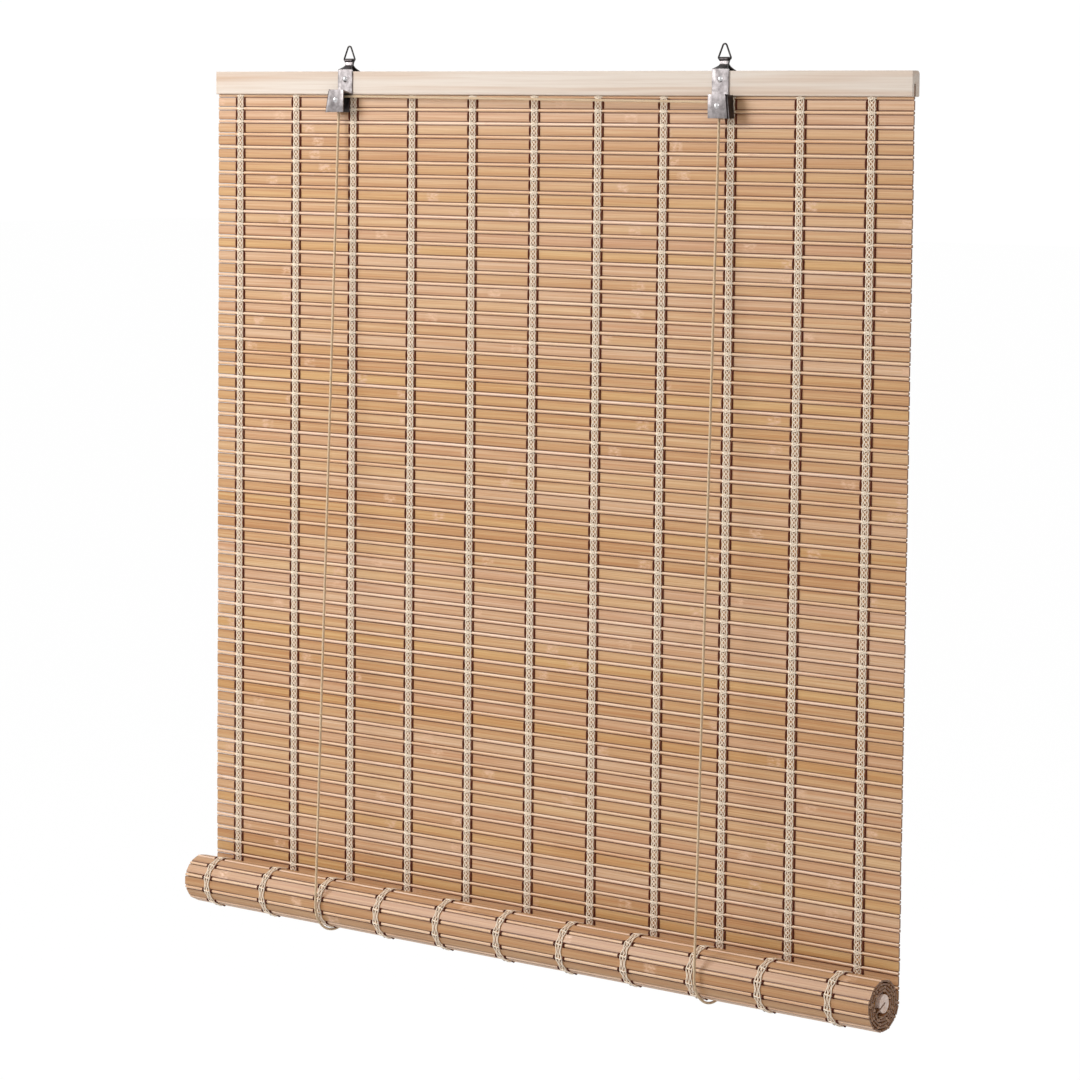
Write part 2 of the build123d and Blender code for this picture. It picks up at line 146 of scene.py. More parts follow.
class Paint:
    """A material with a principled shader, and short ways to add its nodes."""

    def __init__(self, name, color, roughness, metallic=0.0, specular=0.5):
        self.material = bpy.data.materials.new(name)
        self.material.use_nodes = True
        self.nodes = self.material.node_tree.nodes
        self.shader = self.nodes["Principled BSDF"]
        self.shader.inputs["Base Color"].default_value = color
        self.shader.inputs["Roughness"].default_value = roughness
        self.shader.inputs["Metallic"].default_value = metallic
        self.shader.inputs["Specular IOR Level"].default_value = specular

    def add(self, kind, **values):
        node = self.nodes.new(kind)
        for key, value in values.items():
            setattr(node, key, value)
        return node

    def link(self, output, socket):
        self.material.node_tree.links.new(output, socket)

    def attribute(self, name):
        return self.add("ShaderNodeAttribute", attribute_name=name)

    def coordinates(self, source, scale):
        """Texture vector from an attribute, or from object coordinates when source is None."""
        mapping = self.add("ShaderNodeMapping")
        mapping.inputs["Scale"].default_value = scale
        if source is None:
            self.link(self.add("ShaderNodeTexCoord").outputs["Object"], mapping.inputs["Vector"])
        else:
            self.link(self.attribute(source).outputs["Vector"], mapping.inputs["Vector"])
        return mapping.outputs["Vector"]

    def noise(self, vector, scale, detail=3.0, roughness=0.6):
        node = self.add("ShaderNodeTexNoise")
        node.inputs["Scale"].default_value = scale
        node.inputs["Detail"].default_value = detail
        node.inputs["Roughness"].default_value = roughness
        self.link(vector, node.inputs["Vector"])
        return node.outputs["Fac"]

    def ramp(self, value, stops):
        node = self.add("ShaderNodeValToRGB")
        elements = node.color_ramp.elements
        while len(elements) < len(stops):
            elements.new(0.5)
        for element, (position, color) in zip(elements, stops):
            element.position = position
            element.color = color
        self.link(value, node.inputs["Fac"])
        return node.outputs["Color"]

    def fade(self, value, low, high):
        """Black below the low value, white above the high one, and greys between."""
        return self.ramp(value, [(low, BLACK), (high, WHITE)])

    def mix(self, factor, first, second, blend="MIX"):
        node = self.add("ShaderNodeMix", data_type="RGBA", blend_type=blend)
        sockets = node.inputs
        if isinstance(factor, float):
            sockets["Factor"].default_value = factor
        else:
            self.link(factor, sockets["Factor"])
        for socket, color in ((sockets[6], first), (sockets[7], second)):
            if isinstance(color, tuple):
                socket.default_value = color
            else:
                self.link(color, socket)
        return node.outputs[2]

    def compute(self, operation, first, second=0.0, clamp=False):
        node = self.add("ShaderNodeMath", operation=operation, use_clamp=clamp)
        for socket, value in zip(node.inputs, (first, second)):
            if isinstance(value, (int, float)):
                socket.default_value = value
            else:
                self.link(value, socket)
        return node.outputs[0]

    def cane_joints(self, tone):
        """Mottled patch where the cane had a joint, at its own place on each slat."""
        parts = self.add("ShaderNodeSeparateXYZ")
        self.link(self.attribute("lay").outputs["Vector"], parts.inputs["Vector"])
        along = self.compute("MULTIPLY", parts.outputs["X"], 1 / JOINT_SPACING)
        place = self.compute("ADD", along, self.compute("MULTIPLY", tone, 29.0))
        near = self.compute("ABSOLUTE", self.compute("SUBTRACT", self.compute("FRACT", place), 0.5))
        band = self.compute("MULTIPLY", self.compute("SUBTRACT", 0.02, near), 110.0, clamp=True)
        ragged = self.noise(self.coordinates("lay", (0.16, 0.45, 0.45)), 1.0, 3.0, 0.7)
        spots = self.compute("MULTIPLY", self.compute("SUBTRACT", ragged, 0.42), 6.0)
        return self.compute("MULTIPLY", band, spots, clamp=True)

    def show(self, color):
        """Makes a node's colour the base colour."""
        self.link(color, self.shader.inputs["Base Color"])

    def bump(self, height, strength, distance):
        node = self.add("ShaderNodeBump")
        node.inputs["Strength"].default_value = strength
        node.inputs["Distance"].default_value = distance
        self.link(height, node.inputs["Height"])
        self.link(node.outputs["Normal"], self.shader.inputs["Normal"])


def bamboo(name, stops, painted_edge_shade, grain_color):
    """Split bamboo: a tone per slat, streaks along the grain, and painted shade on the edges and cut ends.
    """
    paint = Paint(name, stops[0][1], 0.4)
    tone_value = paint.attribute("tone").outputs["Fac"]
    tone = paint.ramp(tone_value, stops)
    grain = paint.noise(paint.coordinates("lay", (0.012, 2.6, 2.6)), 1.0, 4.0, 0.65)
    streak = paint.noise(paint.coordinates("lay", (0.006, 0.5, 0.5)), 1.0, 2.0, 0.5)
    grained = paint.mix(paint.fade(grain, 0.35, 0.62), tone,
                        paint.mix(1.0, tone, grain_color, "MULTIPLY"))
    patchy = paint.mix(paint.fade(streak, 0.42, 0.7), grained,
                       paint.mix(1.0, grained, linear(240, 224, 208), "MULTIPLY"))
    mottle = paint.noise(paint.coordinates("lay", (0.5, 1.1, 1.1)), 1.0)
    joint_color = paint.mix(mottle, linear(232, 196, 164), linear(196, 146, 108))
    jointed = paint.mix(paint.cane_joints(tone_value), patchy, joint_color)
    paint.show(paint.mix(paint.attribute("edge").outputs["Fac"], jointed, painted_edge_shade))
    paint.bump(grain, 0.3, 0.0001)
    return paint.material


def thread(name, color, shade, fibre_scale, roughness, sheen):
    """Cotton thread: fine fibres, with painted shade in the fold between them."""
    paint = Paint(name, color, roughness, specular=0.2)
    fibre = paint.noise(paint.coordinates(None, (1, 1, 1)), fibre_scale, 3.0, 0.7)
    paint.show(paint.mix(paint.fade(fibre, 0.36, 0.6), shade, color))
    paint.bump(fibre, 0.6, 0.0003)
    paint.shader.inputs["Sheen Weight"].default_value = sheen
    return paint.material


def twisted(name, color, shade):
    """Laid cord: six ridges that wind round it, read from the UV map, with painted shade in the grooves
    between them.
    """
    paint = Paint(name, color, 0.75, specular=0.25)
    parts = paint.add("ShaderNodeSeparateXYZ")
    paint.link(paint.add("ShaderNodeUVMap", uv_map="lay").outputs["UV"], parts.inputs["Vector"])
    total = paint.compute("ADD", parts.outputs["X"], parts.outputs["Y"])
    wave = paint.compute("SINE", paint.compute("MULTIPLY", total, 3 * math.pi))
    ridge = paint.compute("ABSOLUTE", wave)
    paint.show(paint.mix(paint.fade(ridge, 0.0, 0.55), shade, color))
    paint.bump(ridge, 0.8, 0.0005)
    return paint.material


def wood(name, pale, streak_color, roughness):
    """Planed softwood with long streaks of grain along X."""
    paint = Paint(name, pale, roughness)
    grain = paint.noise(paint.coordinates(None, (9, 520, 520)), 1.0, 5.0, 0.6)
    broad = paint.noise(paint.coordinates(None, (3, 130, 130)), 1.0, 2.0, 0.5)
    grained = paint.mix(paint.fade(grain, 0.42, 0.7), pale, streak_color)
    paint.show(paint.mix(paint.fade(broad, 0.45, 0.72), grained,
                         paint.mix(1.0, grained, linear(238, 220, 205), "MULTIPLY")))
    paint.bump(grain, 0.2, 0.0001)
    return paint.material


def steel(name, color, roughness, stain, metallic=1.0):
    """Plated steel with faint stains and uneven gloss."""
    paint = Paint(name, color, roughness, metallic)
    cloud = paint.noise(paint.coordinates(None, (1, 1, 1)), 240, 4.0, 0.6)
    paint.show(paint.mix(paint.fade(cloud, 0.38, 0.66), color, stain))
    gloss = paint.add("ShaderNodeMapRange")
    gloss.inputs["To Min"].default_value = roughness * 0.8
    gloss.inputs["To Max"].default_value = min(1.0, roughness * 1.3)
    paint.link(cloud, gloss.inputs["Value"])
    paint.link(gloss.outputs["Result"], paint.shader.inputs["Roughness"])
    paint.bump(cloud, 0.12, 0.0001)
    return paint.material


def plastic(name, color, roughness):
    """Moulded plastic with a faintly uneven face."""
    paint = Paint(name, color, roughness)
    paint.bump(paint.noise(paint.coordinates(None, (1, 1, 1)), 900), 0.15, 0.0001)
    return paint.material


SLAT_STOPS = [
    (0.0, linear(200, 152, 98)),
    (0.18, linear(216, 178, 124)),
    (0.36, linear(206, 164, 118)),
    (0.52, linear(220, 186, 144)),
    (0.68, linear(212, 172, 136)),
    (0.84, linear(222, 190, 158)),
    (1.0, linear(212, 170, 144)),
]
# Painted shade on the roll: shares of the mat's slat colours that the roll's slats have, darker as in the
# photo
ROLL_SHADE = (0.84, 0.77, 0.68, 1)
ROLL_SHADED_STOPS = [(place, tuple(c * share for c, share in zip(color, ROLL_SHADE)))
              for place, color in SLAT_STOPS]
STICK_STOPS = [(0.0, linear(226, 190, 154)), (0.5, linear(233, 203, 172)), (1.0, linear(238, 210, 188))]
# Colours of the painted shade in the gaps between slats and sticks
GAP_SHADE_STOPS = [(0.0, linear(116, 66, 34)), (0.5, linear(142, 86, 50)), (1.0, linear(206, 166, 128))]
SLAT_GRAIN = linear(228, 208, 186)
# The third colour of each bamboo paint is the painted shade on its edges and cut ends
slat_paint = bamboo("bamboo_slat", SLAT_STOPS, linear(116, 72, 42), SLAT_GRAIN)
# The roll's paint also has a darker colour on its edges and cut ends, as painted shade
roll_shaded_paint = bamboo("bamboo_roll_slat_shaded", ROLL_SHADED_STOPS, linear(96, 56, 30), SLAT_GRAIN)
stick_paint = bamboo("bamboo_stick", STICK_STOPS, linear(120, 78, 48), linear(240, 224, 206))
gap_shade_paint = bamboo("bamboo_shadow_gap", GAP_SHADE_STOPS, linear(90, 50, 26), linear(220, 200, 180))
cream_paint = thread("cream_thread", linear(255, 243, 226), linear(243, 219, 190), 2600, 0.8, 0.3)
brown_paint = thread("brown_thread", linear(96, 38, 20), linear(54, 18, 10), 2200, 0.75, 0.0)
cord_paint = twisted("lift_cord", linear(255, 228, 192), linear(222, 178, 132))
rail_paint = wood("headrail_wood", linear(219, 206, 193), linear(209, 192, 176), 0.62)
rod_paint = wood("bottom_rail_wood", linear(238, 218, 208), linear(214, 184, 166), 0.55)
bracket_paint = steel("bracket_steel", linear(152, 146, 146), 0.42, linear(116, 110, 110), 0.85)
# A darker copy of the bracket steel: painted shade on the bracket's faces that lie in shade
bracket_shade_paint = steel("bracket_steel_painted_shade", linear(74, 68, 68), 0.38, linear(48, 44, 44), 0.85)
ring_paint = steel("ring_wire", linear(70, 67, 66), 0.3, linear(42, 40, 39))
rivet_paint = steel("rivet_steel", linear(205, 203, 204), 0.2, linear(165, 162, 162))
pulley_paint = plastic("pulley_plastic", linear(38, 35, 34), 0.5)


# Mesh building
class Shape:
    """Collects points, four-sided faces and per-point values for one piece, in millimetres."""

    def __init__(self):
        self.points, self.faces, self.tones, self.edges, self.lays, self.uvs = [], [], [], [], [], []
        self.count = 0

    def put(self, points, faces, tone=0.5, edge=0.0, lay=None, uv=None):
        n = len(points)
        self.points.append(points)
        self.faces.append(faces + self.count)
        self.tones.append(np.broadcast_to(tone, n))
        self.edges.append(np.broadcast_to(edge, n))
        self.lays.append(points if lay is None else lay)
        if uv is not None:
            self.uvs.append(uv)
        self.count += n

    def build(self, name, material, body, nodes, slot, squeezed=None, sharp=40):
        points = np.concatenate(self.points) * MM
        faces = np.concatenate(self.faces)
        mesh = bpy.data.meshes.new(name)
        mesh.vertices.add(len(points))
        mesh.vertices.foreach_set("co", points.astype(np.float32).ravel())
        mesh.loops.add(faces.size)
        mesh.loops.foreach_set("vertex_index", faces.astype(np.int32).ravel())
        mesh.polygons.add(len(faces))
        mesh.polygons.foreach_set("loop_start", np.arange(0, faces.size, 4, dtype=np.int32))
        mesh.update(calc_edges=True)
        for key, values in (("tone", self.tones), ("edge", self.edges)):
            layer = mesh.attributes.new(key, "FLOAT", "POINT")
            layer.data.foreach_set("value", np.concatenate(values).astype(np.float32))
        layer = mesh.attributes.new("lay", "FLOAT_VECTOR", "POINT")
        layer.data.foreach_set("vector", np.concatenate(self.lays).astype(np.float32).ravel())
        if self.uvs:
            uv_layer = mesh.uv_layers.new(name="lay")
            uv_layer.data.foreach_set("uv", np.concatenate(self.uvs).astype(np.float32).ravel())
        mesh.shade_smooth()
        if sharp:
            mesh.set_sharp_from_angle(angle=math.radians(sharp))
        mesh.validate()
        mesh.materials.append(material)
        piece = bpy.data.objects.new(name, mesh)
        bpy.context.collection.objects.link(piece)
        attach(piece, body)
        if nodes:
            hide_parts(*nodes)
        if squeezed:
            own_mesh(piece)


def ring_faces(stations, sides, capped=True):
    """Faces of a closed section repeated at a number of stations."""
    rows = np.arange(stations - 1)[:, None] * sides
    near = np.arange(sides)[None, :]
    after = (near + 1) % sides
    around = [rows + near, rows + after, rows + sides + after, rows + sides + near]
    faces = np.stack(around, -1).reshape(-1, 4)
    if capped:
        half = np.arange(sides // 2 - 1)
        start = np.stack([sides - 1 - half, sides - 2 - half, half + 1, half], -1)
        last = (stations - 1) * sides
        end = np.stack([half, half + 1, sides - 2 - half, sides - 1 - half], -1) + last
        faces = np.concatenate([faces, start, end])
    return faces


def roll_point(run, offset):
    """Point of the roll's section, run along its turns from the back and offset outwards."""
    turned = (ROLL_RADIUS - np.sqrt(ROLL_RADIUS**2 - ROLL_PITCH * run / math.pi)) * 2 * math.pi / ROLL_PITCH
    radius = ROLL_RADIUS - ROLL_PITCH * turned / (2 * math.pi) + offset
    return ROLL_Y + radius * np.cos(turned), ROLL_Z - radius * np.sin(turned)


def lay_point(run, out):
    """Height and depth of a point of the mat: run down from the first stick, out towards the front face."""
    run, out = np.broadcast_arrays(np.asarray(run, float), np.asarray(out, float))
    wound = np.maximum(run - ROLL_DROP, 0)
    roll_y, roll_z = roll_point(wound, -out)
    hanging = run <= ROLL_DROP
    return np.where(hanging, MAT_Y - out, roll_y), np.where(hanging, FIRST_STICK_Z - run, roll_z)


def lay_frame(run, half):
    """Middle, direction along the mat and direction out to its front, for a stiff strip."""
    low = np.array(lay_point(run - half, 0.0))
    high = np.array(lay_point(run + half, 0.0))
    along = (high - low) / np.linalg.norm(high - low)
    out = np.array([along[1], -along[0]])
    return (low + high) / 2, along, out


# Shade of the cut ends, and how far it reaches along a strip
END_SHADE = 0.85
END_REACH = 0.2


def stations_between(low, high, count):
    """Stations along a strip, with one more close to each end for the cut face."""
    inner = np.linspace(low, high, count)[1:-1]
    return np.concatenate([[low, low + END_REACH], inner, [high - END_REACH, high]])


def strip(shape, xs, sections, middle, along, out, tone, edge, shift):
    """A long strip across the blind. Sections hold (along, out) offsets at each station of xs."""
    stations, sides = sections.shape[:2]
    shades = np.tile(edge, (stations, 1))
    shades[0], shades[-1] = END_SHADE, END_SHADE
    points = np.empty((stations, sides, 3))
    points[..., 0] = xs[:, None]
    points[..., 1] = middle[0] + sections[..., 0] * along[0] + sections[..., 1] * out[0]
    points[..., 2] = middle[1] + sections[..., 0] * along[1] + sections[..., 1] * out[1]
    lay = np.empty_like(points)
    lay[..., 0] = xs[:, None]
    lay[..., 1] = sections[..., 0] + shift
    lay[..., 2] = sections[..., 1] + shift * 0.37
    shape.put(points.reshape(-1, 3), ring_faces(stations, sides), tone, shades.ravel(), lay.reshape(-1, 3))


def slat_section(height, thickness, crown):
    """Rounded flat section of a slat, and how much painted shade each of its points takes, most on the long
    edges against the sticks.
    """
    half, face, corner = height / 2, thickness / 2, 0.22
    outline = [
        (-half, -face + corner), (-half, face - corner), (-half + corner, face),
        (-half / 3, face + crown), (half / 3, face + crown), (half - corner, face),
        (half, face - corner), (half, -face + corner), (half - corner, -face),
        (half / 3, -face), (-half / 3, -face), (-half + corner, -face),
    ]
    dark = [0.9, 0.9, 0.25, 0, 0, 0.25, 0.9, 0.9, 0.25, 0, 0, 0.25]
    return np.array(outline), np.array(dark)


# Stations along slats and sticks that show, and along those inside the roll
SLAT_STATIONS = 60
STICK_STATIONS = 50
HIDDEN_STATIONS = 3
STICK_SIDES = 10


def stick_section():
    """Oval section of a stick."""
    angles = (np.arange(STICK_SIDES) + 0.5) * 2 * math.pi / STICK_SIDES
    return np.stack([STICK_HEIGHT / 2 * np.cos(angles), STICK_THICKNESS / 2 * np.sin(angles)], -1)


def wander(xs, size, wavelength):
    """Slow random drift along a strip."""
    phases = rng.uniform(0, 2 * math.pi, 3)
    waves = sum(np.sin(xs / wavelength * rate + phase) / rate for rate, phase in zip((1, 2.3, 4.1), phases))
    return size * waves / 1.7


def add_slat(shape, run, fine):
    """One slat with its middle at that run. A fine one isn't quite straight or even."""
    section, dark = slat_section(SLAT_HEIGHT, SLAT_THICKNESS, SLAT_CROWN)
    low_x = LEFT_END + rng.uniform(0.0, 0.6)
    high_x = RIGHT_END - rng.uniform(0.0, 0.5)
    xs = stations_between(low_x, high_x, SLAT_STATIONS if fine else HIDDEN_STATIONS)
    sections = np.repeat(section[None], len(xs), 0)
    if fine:
        sections[..., 0] *= 1 + wander(xs, 0.018, 55)[:, None]
        sections[..., 0] += wander(xs, 0.08, 120)[:, None]
        sections[..., 1] += wander(xs, 0.05, 70)[:, None]
    placed = lay_frame(run, SLAT_HEIGHT / 2)
    strip(shape, xs, sections, *placed, rng.beta(2.2, 1.9), dark, rng.uniform(0, 900))


def add_stick(shape, run, fine):
    """One stick with its middle at that run. A fine one isn't quite straight or even."""
    section = stick_section()
    low_x = LEFT_END + rng.uniform(0.0, 0.7)
    high_x = RIGHT_END - rng.uniform(0.0, 0.6)
    xs = stations_between(low_x, high_x, STICK_STATIONS if fine else HIDDEN_STATIONS)
    sections = np.repeat(section[None], len(xs), 0)
    if fine:
        sections[..., 0] *= 1 + wander(xs, 0.05, 40)[:, None]
        sections[..., 0] += wander(xs, 0.07, 90)[:, None]
    placed = lay_frame(run, STICK_HEIGHT / 2)
    dark = np.zeros(len(section))
    strip(shape, xs, sections, *placed, rng.uniform(0, 1), dark, rng.uniform(0, 900))


def add_plain(shape, low_x, high_x, height, thickness, placed, tone, shift):
    """A straight strip, placed by its middle, its way along the mat and its way out."""
    section, dark = slat_section(height, thickness, 0.0)
    sections = np.repeat(section[None], 2, 0)
    strip(shape, np.array([low_x, high_x]), sections, *placed, tone, np.zeros(len(dark)), shift)


# Height of a strip of painted shade in a gap, beyond the space between its neighbours, and its distance
# from the mat's ends
GAP_SHADE_LAP = 0.5
GAP_SHADE_INSET = 0.8


def add_gap_shades(shape, run):
    """Strips of painted shade in the gaps beside one stick, with a fine open slit left of the first band.
    """
    reach = STICK_GAP + GAP_SHADE_LAP
    slit_end = BAND_XS[0] - BAND_WIDTH / 2 - OPEN_END
    left_x, right_x = LEFT_END + GAP_SHADE_INSET, RIGHT_END - GAP_SHADE_INSET
    for side in (-1, 1):
        placed = lay_frame(run + side * (STICK_HEIGHT + STICK_GAP) / 2, reach / 2)
        tone, shift = rng.uniform(0, 0.5), rng.uniform(0, 900)
        add_plain(shape, slit_end, right_x, reach, GAP_SHADE_THICKNESS, placed, tone, shift)
        narrow = reach - OPEN_SLIT
        placed = lay_frame(run + side * (STICK_HEIGHT + reach + OPEN_SLIT) / 2, narrow / 2)
        add_plain(shape, left_x, slit_end, narrow, GAP_SHADE_THICKNESS, placed, 1.0, 0.0)


total_angle = 2 * math.pi * ROLL_TURNS
roll_length = ROLL_RADIUS * total_angle - ROLL_PITCH * total_angle**2 / (4 * math.pi)
outer_length = ROLL_RADIUS * 2 * math.pi - ROLL_PITCH * math.pi
stick_runs = np.arange(0, ROLL_DROP, ROW_PITCH)
roll_runs = np.arange(len(stick_runs) * ROW_PITCH, ROLL_DROP + roll_length - STICK_HEIGHT, ROW_PITCH)

# Slats, sticks, and links: the strips of painted shade in the gaps between them
slats, sticks, links = Shape(), Shape(), Shape()
add_slat(slats, -ROW_PITCH / 2, True)
for run in stick_runs:
    add_stick(sticks, run, True)
    add_gap_shades(links, run)
    add_slat(slats, run + ROW_PITCH / 2, True)
slats.build("mat_slats", slat_paint, "frame", ["mat"], "bamboo", squeezed=MAT_SQUEEZE)
sticks.build("mat_sticks", stick_paint, "frame", [], "bamboo", squeezed=MAT_SQUEEZE, sharp=60)
links.build("mat_gap_shades", gap_shade_paint, "frame", [], "bamboo", squeezed=MAT_SQUEEZE)

# Slats, sticks, and links: the strips of painted shade in the gaps between them
slats, sticks, links = Shape(), Shape(), Shape()
for run in roll_runs:
    outside = run < ROLL_DROP + outer_length + ROW_PITCH
    add_stick(sticks, run, outside)
    add_gap_shades(links, run)
    if run < roll_runs[-1]:
        add_slat(slats, run + ROW_PITCH / 2, outside)
# The mat's tail, from the end of the spiral to a little past the rod's middle
TAIL_PAST = 1.2
TAIL_LAP = 2.0
rod_middle = middle_mm("bottom_rail")[1:]
tail_start = np.array(roll_point(roll_length, 0.0))
tail_way = (rod_middle - tail_start) / np.linalg.norm(rod_middle - tail_start)
tail_end = rod_middle + tail_way * TAIL_PAST
tail_height = np.linalg.norm(tail_end - tail_start) + TAIL_LAP
tail_middle = (tail_start + tail_end - tail_way * TAIL_LAP) / 2
tail_placed = tail_middle, tail_way, np.array([tail_way[1], -tail_way[0]])
add_plain(slats, LEFT_END, RIGHT_END, tail_height, SLAT_THICKNESS, tail_placed, 0.2, 50.0)
slats.build("roll_slats", roll_shaded_paint, "roll", ["roll_turns"], "bamboo")
sticks.build("roll_sticks", stick_paint, "roll", [], "bamboo", sharp=60)
links.build("roll_gap_shades", gap_shade_paint, "roll", [], "bamboo")

# Threads and cords as tubes along a path
def directions(path, closed=False):
    """Direction of a path at each of its points."""
    if closed:
        way = np.roll(path, -1, 0) - np.roll(path, 1, 0)
    else:
        longer = np.vstack([2 * path[0] - path[1], path, 2 * path[-1] - path[-2]])
        way = longer[2:] - longer[:-2]
    return way / np.linalg.norm(way, axis=1)[:, None]


def tube_points(path, radius, side, other, sides):
    """Rings of points round a path, in the two directions square to it."""
    angles = np.arange(sides) * 2 * math.pi / sides
    sideways = np.cos(angles)[None, :, None] * side[:, None]
    upwards = np.sin(angles)[None, :, None] * other[:, None]
    return path[:, None] + radius * (sideways + upwards)


THREAD_SIDES = 5


def tube_unit(path, radius, closed=False):
    """Points and faces of a thread along a path, each section square to it."""
    path = np.asarray(path, float)
    way = directions(path, closed)
    side = np.cross(way, (0.0, 0.0, 1.0))
    side /= np.maximum(np.linalg.norm(side, axis=1)[:, None], 1e-6)
    points = tube_points(path, radius, side, np.cross(way, side), THREAD_SIDES)
    if closed:
        points = np.concatenate([points, points[:1]])
    return points.reshape(-1, 3), ring_faces(len(points), THREAD_SIDES, capped=False)


# Crocheted bands: thread paths in (across, along, out) offsets over one row of the mat
FRONT_STATIONS = 10
BACK_STATIONS = 7
FRONT_EDGE_RADIUS = 0.52
FRONT_CROSSING_RADIUS = 0.42
EAR_RADIUS = 0.58
BACK_EDGE_RADIUS = 0.5
BACK_LOOP_RADIUS = 0.36
BROWN_RADIUS = 0.8
BROWN_OFFSET = 4.7


def over_row(run):
    """Height of the mat's face along one row: a stick at both ends and a slat between."""
    return 0.65 + 0.4 * np.maximum(np.cos(2 * math.pi * run / ROW_PITCH), 0) ** 2


def front_stitches():
    """One row of the front chain: two edge threads, two crossing threads, a ring and ears."""
    runs = np.linspace(0, ROW_PITCH, FRONT_STATIONS)
    phase = math.pi * runs / ROW_PITCH
    face = over_row(runs)
    parts = []
    for way in (-1, 1):
        edge = np.stack([way * (2.55 - 0.35 * np.cos(4 * phase)), runs, face + 0.42], -1)
        parts.append(tube_unit(edge, FRONT_EDGE_RADIUS))
        height = face + 0.62 + way * 0.22 * np.cos(3 * phase)
        crossing = np.stack([way * 1.5 * np.sin(3 * phase + 0.3), runs, height], -1)
        parts.append(tube_unit(crossing, FRONT_CROSSING_RADIUS))
    angles = np.linspace(0, 2 * math.pi, FRONT_STATIONS, endpoint=False)
    ring = np.stack([1.35 * np.cos(angles), 1.15 * np.sin(angles), np.full(FRONT_STATIONS, 1.95)], -1)
    parts.append(tube_unit(ring, FRONT_CROSSING_RADIUS, closed=True))
    ear = [(-4.0, 0, 0.6), (-3.3, 0, 1.35), (-2.0, 0, 1.5), (0, 0, 1.35),
           (2.0, 0, 1.5), (3.3, 0, 1.35), (4.0, 0, 0.6)]
    parts.append(tube_unit(ear, EAR_RADIUS))
    return parts


def back_stitches():
    """One row of the back ladder: two edge threads, two loop threads and a knot over the stick."""
    runs = np.linspace(0, ROW_PITCH, BACK_STATIONS)
    phase = math.pi * runs / ROW_PITCH
    face = -over_row(runs)
    parts = []
    for way in (-1, 1):
        edge = np.stack([way * (2.35 + 0.5 * np.cos(2 * phase)), runs, face - 0.35], -1)
        parts.append(tube_unit(edge, BACK_EDGE_RADIUS))
        loop = np.stack([way * 0.9 * np.sin(phase), runs, face - 0.4], -1)
        parts.append(tube_unit(loop, BACK_LOOP_RADIUS))
    knot = [(-3.1, 0.25, -0.7), (-2.2, 0.35, -1.65), (0, 0, -1.95), (2.2, -0.35, -1.65), (3.1, -0.25, -0.7)]
    parts.append(tube_unit(knot, BACK_EDGE_RADIUS))
    return parts


def brown_weave():
    """One row of the brown threads: behind the stick at both ends and before the slat between."""
    first_runs = np.array([0, 1.35, 1.9, 3.0])
    first_outs = np.array([-1.4, -0.75, 0.35, 0.95])
    runs = np.concatenate([first_runs, [ROW_PITCH / 2], ROW_PITCH - first_runs[::-1]])
    outs = np.concatenate([first_outs, [1.0], first_outs[::-1]])
    return [tube_unit(np.stack([np.full(len(runs), BROWN_OFFSET * way), runs, outs], -1), BROWN_RADIUS)
            for way in (-1, 1)]


def stitch(shape, parts, band_x, runs):
    """Repeats one row's threads along a band, bent to the mat or the roll."""
    for points, faces in parts:
        along = points[None, :, 1] + np.asarray(runs)[:, None]
        y, z = lay_point(along, np.broadcast_to(points[None, :, 2], along.shape))
        x = np.broadcast_to(band_x + points[None, :, 0], along.shape)
        placed = np.stack([x, y, z], -1).reshape(-1, 3)
        steps = (np.arange(len(runs)) * len(points))[:, None, None]
        shape.put(placed, (faces[None] + steps).reshape(-1, 4))


front_parts, back_parts, brown_parts = front_stitches(), back_stitches(), brown_weave()
front_runs = [run for run in stick_runs if run + ROW_PITCH < NIP_RUN]
back_runs = stick_runs[:-1]
# The roll's bands cover this share of its outer turn
ROLL_BAND_SHARE = 0.86
roll_band_end = ROLL_DROP + outer_length * ROLL_BAND_SHARE
wound_runs = [run for run in roll_runs if run + ROW_PITCH < roll_band_end]
for number, band_x in enumerate(BAND_XS, start=1):
    band = f"{number:02d}"
    for name, paint, body, nodes, rows in (
        (f"chain_{band}", cream_paint, "frame", [f"band_{band}"],
         [(front_parts, front_runs), (back_parts, back_runs)]),
        (f"edge_thread_{band}", brown_paint, "frame", [], [(brown_parts, back_runs)]),
        (f"roll_chain_{band}", cream_paint, "roll", [f"roll_band_{band}"], [(back_parts, wound_runs)]),
        (f"roll_edge_thread_{band}", brown_paint, "roll", [], [(brown_parts, wound_runs)]),
    ):
        shape = Shape()
        for parts, runs in rows:
            stitch(shape, parts, band_x, runs)
        squeezed = MAT_SQUEEZE if body == "frame" else None
        shape.build(name, paint, body, nodes, "binding_thread", squeezed=squeezed, sharp=0)


# Lift cords
CORD_SIDES = 12
CORD_STATIONS = 40
CORNER_STEPS = 8
# Length in which a ridge winds halfway round the cord, in cord radii
HALF_LAY = 7


